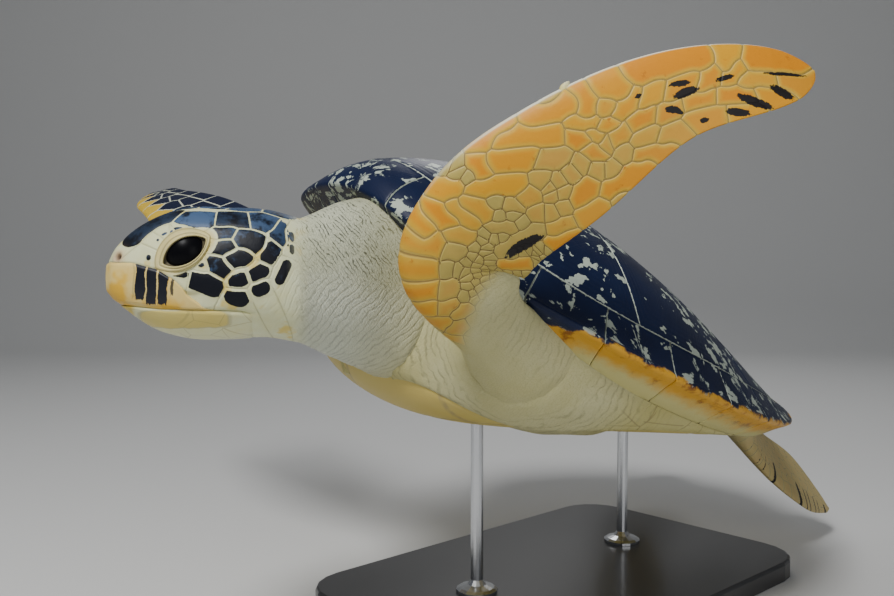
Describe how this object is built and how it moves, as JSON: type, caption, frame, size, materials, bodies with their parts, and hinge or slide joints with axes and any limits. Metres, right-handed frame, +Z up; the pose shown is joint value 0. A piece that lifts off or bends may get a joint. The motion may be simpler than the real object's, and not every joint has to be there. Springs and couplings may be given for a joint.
{
  "type": "green sea turtle display model",
  "caption": "Life-size model of a green sea turtle in mid stroke, near fore flipper raised, held over a flat stand on slim rods.",
  "frame": {"origin": "middle of the underside of the stand's base", "axes": "+Z up; the turtle's nose heads along -Y; its left side is on +X"},
  "size_m": [0.8304, 0.8539, 0.4872],
  "materials": {
    "scute": "satin horn, navy-black with cream seams",
    "plastron": "matt, pale yellow-cream",
    "skin": "matt, pale grey-cream scaled skin",
    "flipper": "satin, amber scales with thin dark seams",
    "horn": "satin horn, yellow with dark streaks",
    "eye": "wet gloss, near black",
    "base": "satin black paint",
    "rod": "brushed"
  },
  "bodies": {
    "root": {"beak_upper": "horn", "claw_left": "horn", "claw_right": "horn", "costal_left_1": "scute", "costal_left_2": "scute", "costal_left_3": "scute", "costal_left_4": "scute", "costal_right_1": "scute", "costal_right_2": "scute", "costal_right_3": "scute", "costal_right_4": "scute", "eye_left": "eye", "eye_right": "eye", "fore_flipper_left": "flipper", "fore_flipper_right": "flipper", "head": "skin", "hind_flipper_left": "flipper", "hind_flipper_right": "flipper", "jaw_lower": "horn", "marginal_left_1": "scute", "marginal_left_10": "scute", "marginal_left_11": "scute", "marginal_left_12": "scute", "marginal_left_2": "scute", "marginal_left_3": "scute", "marginal_left_4": "scute", "marginal_left_5": "scute", "marginal_left_6": "scute", "marginal_left_7": "scute", "marginal_left_8": "scute", "marginal_left_9": "scute", "marginal_right_1": "scute", "marginal_right_10": "scute", "marginal_right_11": "scute", "marginal_right_12": "scute", "marginal_right_2": "scute", "marginal_right_3": "scute", "marginal_right_4": "scute", "marginal_right_5": "scute", "marginal_right_6": "scute", "marginal_right_7": "scute", "marginal_right_8": "scute", "marginal_right_9": "scute", "neck": "skin", "nuchal": "scute", "plastron": "plastron", "stand_base": "base", "stand_rod_front": "rod", "stand_rod_rear": "rod", "tail": "skin", "trunk": "skin", "upper_arm_left": "skin", "upper_arm_right": "skin", "vertebral_1": "scute", "vertebral_2": "scute", "vertebral_3": "scute", "vertebral_4": "scute", "vertebral_5": "scute"}
  },
  "joints": []
}
